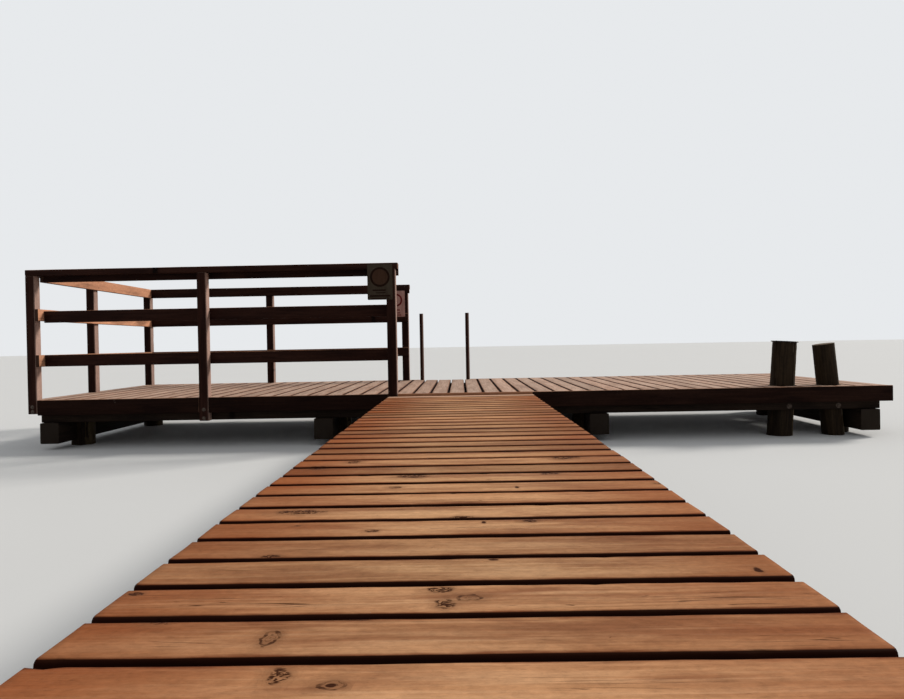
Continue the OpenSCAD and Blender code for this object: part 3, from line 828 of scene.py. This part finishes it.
def platform_section(section, stringer_ys, holes, screws):
    """One section of the platform's boards; those with a cut-out are cut by their CAD solids."""
    node = f"deck_{section}"
    piece = Piece(node + "_boards", deck_wood, "platform_boards", node)
    lo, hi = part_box(node)
    whole = BOARD_T * BOARD_W * (hi.y - lo.y)
    boards = {}
    for part in solids(node):
        index = round((middle(part)[X] - DECK_LEFT - BOARD_W / 2) / DECK_PITCH)
        boards.setdefault(index, []).append(part)
    for index, parts in sorted(boards.items()):
        left = DECK_LEFT + index * DECK_PITCH
        cut = sum(abs(volume(*part)) for part in parts) < whole * 0.99
        size = (hi.y - lo.y, BOARD_W, hi.z - lo.z)
        deck_board(piece, (left + BOARD_W, lo.y, lo.z), ALONG[Y], size, cut and parts, rings=96,
                   edge=(0.0048, 0.0068))
        for y in stringer_ys:
            for off in SCREW_PAIR:
                place = (left + BOARD_W / 2 + off + jitter(0.004), y + jitter(0.012), hi.z - SCREW_SET)
                if not any(near_hole(place, *hole) for hole in holes):
                    screw(screws, place)
    piece.build()


def near_hole(place, low, high, clear=0.02):
    return all(low[axis] - clear < place[axis] < high[axis] + clear for axis in (X, Y))


def platform_boards():
    stringers = all_solids("stringer_near", "stringers_middle", "stringer_far")
    stringer_ys = [middle(part)[Y] for part in stringers]
    screws = fastener_piece("platform_screws", "platform_boards")
    holes = [span(part) for part in all_solids("posts_near", "posts_far", "post_side", "ladder_stiles",
                                               "mooring_post_corner", "mooring_post_capped")]
    for section in range(1, 5):
        platform_section(section, stringer_ys, holes, screws)


walkway_boards()
platform_boards()


# Sawn timbers
def timbers(node, material, axis, keep=False, **how):
    """Sawn timbers with their grain along axis, cut to their CAD solids where keep is true."""
    slot = "railing_timber" if material in (rail_wood, post_wood) else "carrying_timber"
    piece = Piece(node + "_timber", material, slot, node)
    for part in solids(node):
        lo, hi = span(part)
        size = hi - lo
        length, width, depth = (size[[X, Y, Z]], size[[Y, X, Z]], size[[Z, X, Y]])[axis]
        points, faces = stick(length, width, depth, rings=max(12, int(length / 0.05)), **how)
        origin = (hi[X], lo[Y], lo[Z]) if axis == Y else lo
        pith = (rng.uniform(0.3, 0.7) * width, rng.uniform(0.2, 0.8) * depth)
        piece.add(points, faces, origin, ALONG[axis], pith, keep=keep and [part])
    piece.build()


for bay in range(1, BAYS + 1):
    timbers(f"walk_stringers_{bay}", beam_wood, Y)
timbers("walk_beams", beam_wood, X)
for node in ("stringer_near", "stringers_middle", "stringer_far"):
    timbers(node, beam_wood, X, keep=True)
timbers("edge_boards", edge_wood, X, keep=True, round_top=0.005)
for i in range(1, 5):
    timbers(f"cross_beam_{i}", beam_wood, Y, round_top=0.006, round_low=0.006)
for node in ("posts_near", "posts_far", "post_side"):
    timbers(node, post_wood, Z, wobble=0.0004, round_top=0.005, round_low=0.0055)
for kind in ("rails", "top_beam"):
    for place, axis in (("near", X), ("far", X), ("side", Y)):
        timbers(f"{kind}_{place}", rail_wood, axis)
timbers("ladder_stiles", post_wood, Z, round_top=0.010, round_low=0.012)
timbers("ladder_treads", rail_wood, X)


# Piles and mooring posts
def lean_frame(lean):
    """Axes of something that leans towards +X by an angle."""
    return np.array([(math.cos(lean), 0, -math.sin(lean)), (0, 1, 0), (math.sin(lean), 0, math.cos(lean))])


def round_log(piece, part, radius, centre, keep=True, lean=0.0, top_radius=None, **how):
    """A log round an axis through centre, cut to its CAD solid where keep is true."""
    lo, hi = span(part)
    centre = np.array(centre)
    axes = lean_frame(lean)
    extra = 0.06 if lean else 0.0
    points, faces = log(hi[Z] - lo[Z] + 2 * extra, radius, top_radius or radius, **how)
    base = centre - axes[2] * ((centre[2] - lo[Z]) / math.cos(lean) + extra)
    grain_first = [2, 0, 1]
    piece.add(points[:, grain_first], faces, base, axes[grain_first], keep=keep and [part])


def piles(nodes, keep, radius=None, **how):
    """Upright logs round the middles of their solids' feet, of the radius given or just inside the solid."""
    for node in nodes:
        piece = Piece(node + "_logs", log_wood, "round_logs", node)
        for part in solids(node):
            lo, hi = span(part)
            foot = part[0][part[0][:, Z] < lo[Z] + 0.001]
            x = (foot[:, X].min() + foot[:, X].max()) / 2
            inside = radius or (hi[Y] - lo[Y]) / 2 - LOG_GAP
            round_log(piece, part, inside, (x, middle(part)[Y], 0), keep, **how)
        piece.build()


def mooring_post(name, radius, axis, lean, **how):
    node = f"mooring_post_{name}"
    piece = Piece(node + "_log", log_wood, "round_logs", node)
    round_log(piece, solids(node)[0], radius - LOG_GAP, axis, lean=lean, rings=90, around=64, ridge=0.0024,
              **how)
    piece.build()


def mooring_cap():
    """The capped post's thin disc, a little dented, with a ring of nails."""
    axes = lean_frame(MOOR_LEAN)
    base = np.array(MOOR_AXIS) + axes[2] * MOOR_H
    disc = [(0.0005, 0.0002), (0.096, 0.0002), (0.104, 0.0004), (0.1055, 0.0016), (0.1082, 0.0030),
            (0.1088, 0.0052), (0.1072, 0.0074), (0.1045, 0.0082), (0.098, 0.0084), (0.07, 0.0090),
            (0.035, 0.0095), (0.0005, 0.0097)]
    points, faces = revolve(disc, 64)
    dent = 0.0008 * np.sin(points[:, X] * 60 + 1) * np.sin(points[:, Y] * 47)
    on_top = points[:, Z] > 0.0081
    points[:, Z] -= np.abs(dent) * on_top
    piece = Piece("mooring_cap_disc", cap_metal, "post_cap", "mooring_cap")
    piece.add(points, faces, base, axes)
    piece.build()
    nails = fastener_piece("cap_nails", "post_cap")
    nail = [(0.0003, 0.0), (0.0045, 0.0002), (0.0042, 0.0011), (0.0025, 0.0018), (0.0003, 0.0021)]
    count, ring, height = 6, 0.088, 0.0078
    for k in range(count):
        a = k * 2 * math.pi / count + 0.3
        place = base + axes[0] * ring * math.cos(a) + axes[1] * ring * math.sin(a) + axes[2] * height
        nails.add(*revolve(nail, 12), place, axes)


piles([f"walk_piles_{i}" for i in range(1, BAYS + 2)], False, WALK_PILE_R, rings=16, around=40, ridge=0.0016)
piles(("piles_1", "piles_2", "piles_3", "pile_far_right", "pile_near_right"), True, rings=20, around=48,
      ridge=0.0018)
mooring_post("corner", CORNER_R, CORNER_AXIS, -CORNER_LEAN, cracks=5)
# The capped post's taper goes on down to the log's foot, under the boards
foot_depth = 0.49
foot_r = MOOR_R + (MOOR_R - MOOR_HEAD_R) / MOOR_H * foot_depth
mooring_post("capped", foot_r, MOOR_AXIS, MOOR_LEAN, top_radius=MOOR_HEAD_R - 0.0010, cracks=4)
mooring_cap()


# Sign plates
PLATE_AXES = [(1, 0, 0), (0, -1, 0), (0, 0, 1)]


def circle(x, z, radius, depth):
    """A circle in a plate's own frame."""
    around = 72
    a = np.linspace(0, 2 * math.pi, around, endpoint=False)
    return np.stack([x + radius * np.cos(a), np.full(around, depth), z + radius * np.sin(a)], axis=1)


def sheet_shape(w, h, t):
    """A thin sheet with rounded corners and eased edges."""
    r, steps = 0.008, 5
    edge = []
    for x, z, first in ((w - r, r, -90), (w - r, h - r, 0), (r, h - r, 90), (r, r, 180)):
        for k in range(steps):
            a = math.radians(first + 90 * k / (steps - 1))
            edge.append((x + r * math.cos(a), z + r * math.sin(a)))
    edge = np.array(edge)
    centre = np.array([w / 2, h / 2])
    rings = []
    for inset, depth in ((0.0008, 0.0), (0.0, 0.0006), (0.0, t - 0.0011), (0.0008, t - 0.0005)):
        loop = centre + (edge - centre) * (1 - 2 * inset / w)
        rings.append(np.stack([loop[:, 0], np.full(len(loop), depth), loop[:, 1]], axis=1))
    return loft(np.array(rings))


def ring_shape(x, z, outer, inner, back, face):
    """A flat raised ring with sloped sides."""
    slope = 0.0003
    steps = ((outer, back), (outer - slope, face), (inner + slope, face), (inner, back))
    return loft(np.array([circle(x, z, radius, depth) for radius, depth in steps]), ends=False)


def bar_shape(left, right, low, high, back, face):
    """A flat raised bar with sloped sides."""
    loops = []
    for inset, depth in ((0, back), (0.0002, face)):
        x0, x1, z0, z1 = left + inset, right - inset, low + inset, high - inset
        loops.append([(x0, depth, z0), (x1, depth, z0), (x1, depth, z1), (x0, depth, z1)])
    return loft(np.array(loops))


def plate(node, material, printed, ring, bars, disc=None):
    """A plate with a raised ring, raised bars, and a disc in the ring where one is given."""
    lo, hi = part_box(node)
    w, h, t = hi.x - lo.x, hi.z - lo.z, hi.y - lo.y
    origin = (lo.x, hi.y, lo.z)
    back, face, flat = t - 0.0006, t - 0.0001, 30
    piece = Piece(node + "_plate", material, "sign_plates", node)
    piece.add(*sheet_shape(w, h, t), origin, PLATE_AXES)
    piece.build(flat)
    marks = Piece(node + "_marks", printed, "sign_plates")
    marks.add(*ring_shape(*ring, back, face), origin, PLATE_AXES)
    if disc:
        x, z, _, inner = ring
        piece = Piece(node + "_disc", disc, "sign_plates")
        loops = [circle(x, z, inner - 0.0006, back), circle(x, z, inner - 0.0008, face - 0.0002)]
        piece.add(*loft(np.array(loops)), origin, PLATE_AXES)
        piece.build(flat)
    for bar in bars:
        marks.add(*bar_shape(*bar, back, face), origin, PLATE_AXES)
    marks.build(flat)
    screws = fastener_piece("sign_screws", "sign_plates")
    inset = 0.012
    for x in (inset, w - inset):
        for z in (inset, h - inset):
            screw(screws, (lo.x + x, lo.y + 0.0006, lo.z + z), (0, -1, 0), 0.0038)


plate("sign_near", near_shaded_paint, near_shaded_print, (0.105, 0.19, 0.082, 0.065),
      [(0.042, 0.152, 0.074, 0.086), (0.072, 0.15, 0.055, 0.062), (0.02, 0.19, 0.026, 0.039),
       (0.03, 0.18, 0.008, 0.015)], near_shaded_disc)
plate("sign_far", far_paint, far_print, (0.107, 0.19, 0.0735, 0.055),
      [(0.04, 0.15, 0.071, 0.084), (0.04, 0.15, 0.04, 0.05), (0.04, 0.165, 0.015, 0.025)])


# Bolts, and screws of the railing, ladder and edge boards
def face_of(lo, hi, axis, side):
    """Where a fastener sits in the face of a box that looks along axis, to the side 1 or -1."""
    return hi[axis] - BOLT_SET if side > 0 else lo[axis] + BOLT_SET


def frame_bolts():
    """Bolts of the pile heads, the railing posts' feet and the mooring posts."""
    bolts = fastener_piece("frame_bolts", "carrying_timber")
    for i, pile in enumerate(("piles_1", "piles_2", "piles_3", "pile_far_right"), 1):
        lo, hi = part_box(f"cross_beam_{i}")
        pile_lo, pile_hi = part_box(pile)
        side = 1 if pile_lo.x + pile_hi.x < lo.x + hi.x else -1
        for y in PILE_ROWS:
            for off in (-0.035, 0.035):
                place = (face_of(lo, hi, X, side), y + off, lo.z + 0.088 + off)
                bolt(bolts, place, (side, 0, 0), FRAME_BOLT_R)
    for node, side in (("posts_near", -1), ("posts_far", 1)):
        for part in solids(node):
            lo, hi = span(part)
            for z in (lo[Z] + 0.022, min(lo[Z] + 0.095, DECK_TOP - 0.058)):
                bolt(bolts, (middle(part)[X], face_of(lo, hi, Y, side), z), (0, side, 0), POST_BOLT_R)
    lo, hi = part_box("post_side")
    for z in (lo.z + 0.035, lo.z + 0.115):
        bolt(bolts, (face_of(lo, hi, X, -1), (lo.y + hi.y) / 2, z), (-1, 0, 0), POST_BOLT_R)
    lo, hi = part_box("stringer_near")
    for axis, lean in ((CORNER_AXIS, -CORNER_LEAN), (MOOR_AXIS, MOOR_LEAN)):
        for drop in (0.105, 0.168):
            place = (axis[X] - math.tan(lean) * drop, face_of(lo, hi, Y, -1), DECK_TOP - drop)
            bolt(bolts, place, (0, -1, 0), FRAME_BOLT_R)


def rail_board_screws(screws):
    """Two screws in each rail board at each post."""
    inset = 0.025
    for name, side in (("near", 1), ("far", -1)):
        for part in solids(f"rails_{name}"):
            lo, hi = span(part)
            for post in solids(f"posts_{name}"):
                x = max(middle(post)[X], lo[X] + 0.02)
                for z in (lo[Z] + inset, hi[Z] - inset):
                    place = (x + jitter(0.006), face_of(lo, hi, Y, side), z)
                    screw(screws, place, (0, side, 0), RAIL_SCREW_R)
    for part in solids("rails_side"):
        lo, hi = span(part)
        for y in SIDE_POST_YS:
            if lo[Y] < y < hi[Y]:
                for z in (lo[Z] + inset, hi[Z] - inset):
                    screw(screws, (face_of(lo, hi, X, 1), y, z), (1, 0, 0), RAIL_SCREW_R)


def top_beam_screws(screws):
    """Two screws through a top beam into each post."""
    for name in ("near", "far", "side"):
        lo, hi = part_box(f"top_beam_{name}")
        if name == "side":
            places = [((lo.x + hi.x) / 2, SIDE_POST_YS[1])]
        else:
            places = [(middle(post)[X], (lo.y + hi.y) / 2) for post in solids(f"posts_{name}")]
        for x, y in places:
            for off in (-0.016, 0.016):
                screw(screws, (x + off, y + off, hi.z - RAIL_SCREW_SET), radius=RAIL_SCREW_R)


def tread_screws(screws):
    for part in solids("ladder_treads"):
        lo, hi = span(part)
        for x in (lo[X] + 0.02, hi[X] - 0.02):
            screw(screws, (x, middle(part)[Y], face_of(lo, hi, Z, 1)), radius=RAIL_SCREW_R)


def edge_board_screws(screws):
    """Pairs of screws along the edge boards."""
    start, stop, spacing = 0.06, 0.03, 0.592
    for part in solids("edge_boards"):
        lo, hi = span(part)
        side = -1 if lo[Y] < MIDDLE_Y else 1
        for x in np.arange(lo[X] + start, hi[X] - stop, spacing):
            for z in (hi[Z] - 0.014, hi[Z] - 0.030):
                screw(screws, (x + jitter(0.01), face_of(lo, hi, Y, side), z), (0, side, 0))


frame_bolts()
railing_screws = fastener_piece("railing_screws", "railing_timber")
for add_screws in (rail_board_screws, top_beam_screws, tread_screws, edge_board_screws):
    add_screws(railing_screws)
for piece in fasteners.values():
    piece.build(30)


# Stage: pale floor, plain world and two soft suns
def stage_material(name, level):
    n = Nodes(bpy.data.materials.new(name))
    fog = n.noise(n.add("TexCoord").outputs["Object"], (0.5, 0.5, 0.5), 2.0)
    colour = n.mix(fog, rgb(level, 0.98), rgb(level))
    return n.finish(colour, 0.9, None, None, 0.1)


def studio_world():
    """Soft light from all round, with a pale backdrop for the camera and in gloss and glass."""
    world = bpy.data.worlds.new("studio")
    bpy.context.scene.world = world
    n = Nodes(world)
    path = n.add("LightPath").outputs
    light = n.add("Background", {"Color": (0.95, 0.97, 1.0, 1), "Strength": 0.42})
    back = n.add("Background", {"Color": (0.80, 0.82, 0.84, 1), "Strength": 1.0})
    seen = n.most(n.most(path["Is Camera Ray"], path["Is Transmission Ray"]), path["Is Glossy Ray"])
    choose = n.add("MixShader", {0: seen, 1: light.outputs[0], 2: back.outputs[0]})
    n.add("OutputWorld", {0: choose.outputs[0]})


def sun(name, energy, direction, spread, colour):
    """A soft sun that shines from direction; spread is its size in degrees."""
    data = bpy.data.lights.new(name, "SUN")
    data.energy, data.color = energy, colour
    data.angle = math.radians(spread)
    ob = new_object(name, data)
    ob.rotation_euler = Vector(direction).to_track_quat("Z", "Y").to_euler()


floor_r = 160
turns = [math.radians(a) for a in range(0, 360, 3)]
rim = [(floor_r * math.cos(a), floor_r * math.sin(a), -0.0002) for a in turns]
floor_mesh = mesh_of(rim, [list(range(len(rim)))])
floor_mesh.materials.append(stage_material("floor_pale", (0.72, 0.72, 0.71)))
floor = new_object("floor", floor_mesh)
studio_world()
sun("key", 3.0, (0.80, 0.42, 0.52), 14, (1.0, 0.96, 0.90))
sun("fill", 0.15, (-0.3, -0.9, 0.6), 60, (0.95, 0.97, 1.0))


# Camera
PHOTO_WIDTH = 904
SENSOR = 36.0


def rotation(angle, axis):
    return Matrix.Rotation(math.radians(angle), 4, axis)


def photo_camera(focal, place, pitch, yaw, roll):
    """The photograph's camera: focal length in the photograph's pixels, angles in degrees."""
    data = bpy.data.cameras.new("photo_view")
    data.sensor_fit, data.sensor_width = "HORIZONTAL", SENSOR
    data.lens = focal / PHOTO_WIDTH * SENSOR
    data.clip_start, data.clip_end = 0.02, 500
    ob = new_object("photo_view", data)
    look = rotation(yaw, "Z") @ rotation(90 - pitch, "X") @ rotation(roll, "Z")
    ob.matrix_world = Matrix.Translation(place) @ look
    bpy.context.scene.camera = ob


photo_camera(focal=666.2, place=(0.034, -2.585, 0.839), pitch=0.498, yaw=0.709, roll=-1.074)
bpy.context.scene.view_settings.view_transform = "Standard"
